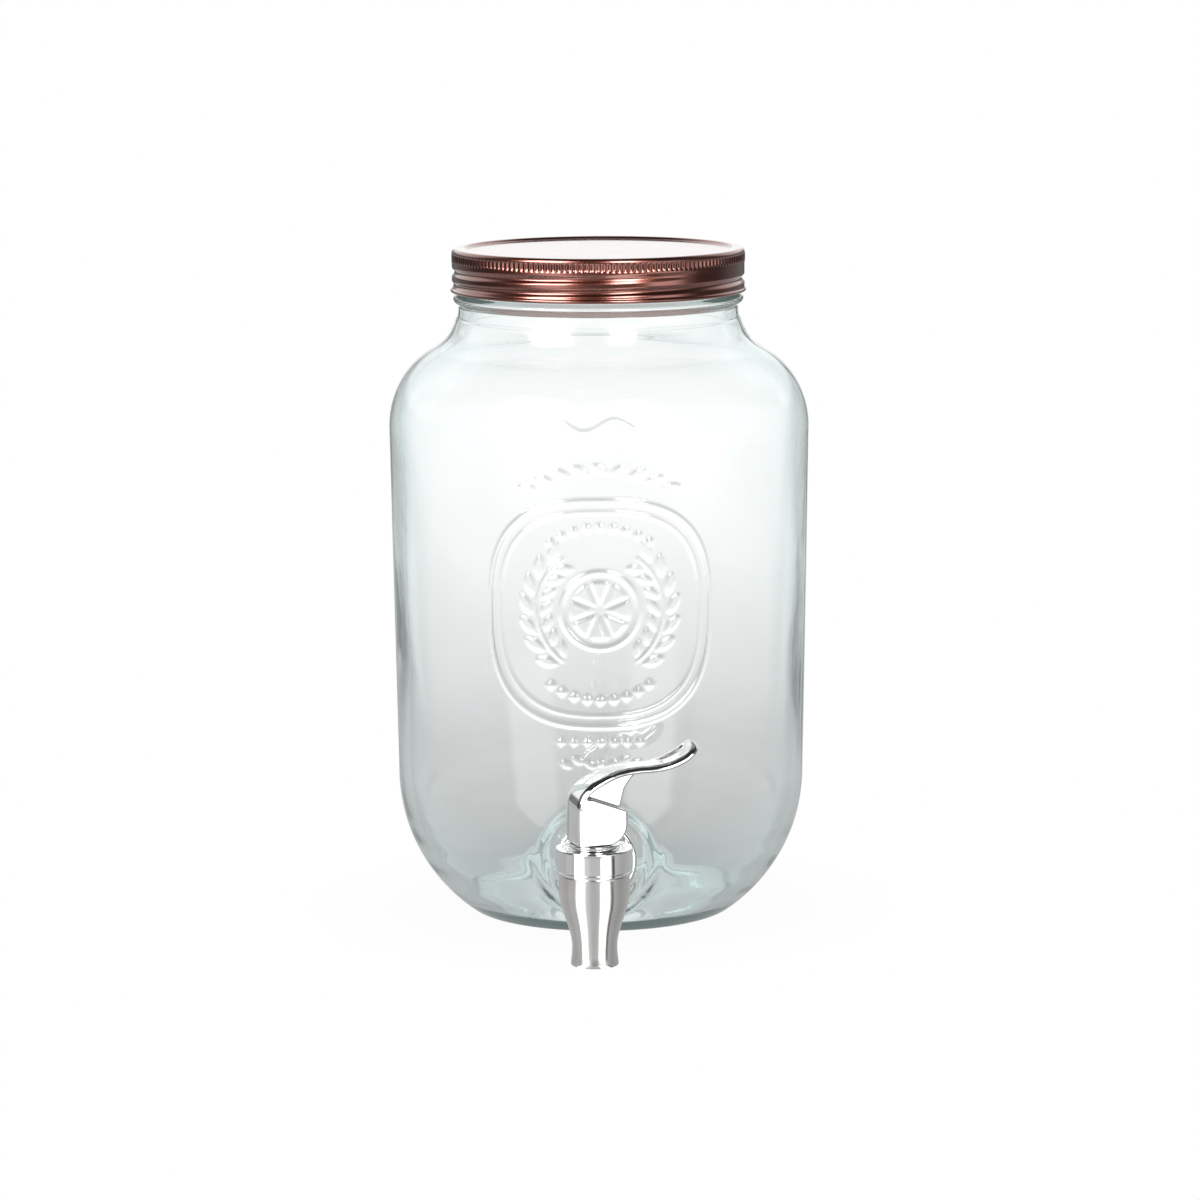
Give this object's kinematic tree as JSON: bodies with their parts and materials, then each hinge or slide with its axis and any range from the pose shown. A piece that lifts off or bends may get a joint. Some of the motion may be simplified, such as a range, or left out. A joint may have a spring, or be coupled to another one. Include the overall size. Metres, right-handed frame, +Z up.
{
  "type": "drinks dispenser jar",
  "caption": "Wide-mouth clear glass drinks jar with rounded shoulders, a copper-coloured metal screw lid and a chrome lever tap low on the front.",
  "frame": {"origin": "on the jar's axis, in the plane that the jar stands on", "axes": "+Z up the jar's axis, -Y out of the front where the tap is, +X to the right of a person facing the tap"},
  "size_m": [0.164, 0.2044, 0.2605],
  "materials": {
    "clear_glass": "clear soda-lime glass with a slight blue-green edge",
    "copper_lacquer": "copper-coloured lacquer on pressed tinplate, glossy",
    "liner_compound": "white sealing compound",
    "polished_chrome": "mirror chrome plate",
    "satin_chrome": "satin plate",
    "black_rubber": "nitrile",
    "clear_silicone": "translucent silicone",
    "stainless_steel": "bright drawn",
    "white_acetal": "moulded",
    "white_nylon": "moulded"
  },
  "bodies": {
    "jar": {"glass_jar": "clear_glass", "tap_body": "polished_chrome", "outlet_nozzle": "satin_chrome", "nozzle_o_ring": "black_rubber", "bonnet": "polished_chrome", "bonnet_o_ring": "black_rubber", "stem_o_ring": "black_rubber", "valve_spring": "stainless_steel", "outer_washer": "clear_silicone", "inner_washer": "clear_silicone", "lock_nut": "white_nylon"},
    "lid_seal": {"lid_liner": "liner_compound"},
    "lid": {"lid_shell": "copper_lacquer"},
    "seat": {"seat_cup": "clear_silicone"},
    "stem": {"valve_stem": "white_acetal", "spring_washer": "stainless_steel", "pivot_pin": "stainless_steel"},
    "lever": {"lever": "polished_chrome"}
  },
  "joints": [
    {"name": "lid_lift", "type": "slide", "parent": "jar", "child": "lid_seal", "axis": [0, 0, 1], "range_m": [0, 0.0204]},
    {"name": "lid_turn", "type": "hinge", "parent": "lid_seal", "child": "lid", "pos_m": [0, 0, 0.2505], "axis": [0, 0, 1], "range_deg": [0, 1440]},
    {"name": "valve_lift", "type": "slide", "parent": "jar", "child": "seat", "axis": [0, 0, 1], "range_m": [0, 0.00215], "deforming": ["valve_spring"]},
    {"name": "lever_swivel", "type": "hinge", "parent": "seat", "child": "stem", "pos_m": [0, -0.108, 0.0475], "axis": [0, 0, 1], "range_deg": [-225, 8]},
    {"name": "lever_tilt", "type": "hinge", "parent": "stem", "child": "lever", "pos_m": [0, -0.108, 0.05525], "axis": [-0.3907, 0.9205, 0], "range_deg": [0, 40], "stiffness_Nm_per_rad": 0.0138, "springref_deg": -75.46}
  ],
  "couplings": [
    {"joint": "lid_lift", "follows": "lid_turn", "m_per_rad": 0.00080851},
    {"joint": "valve_lift", "follows": "lever_tilt", "m_per_rad": 0.003038}
  ]
}
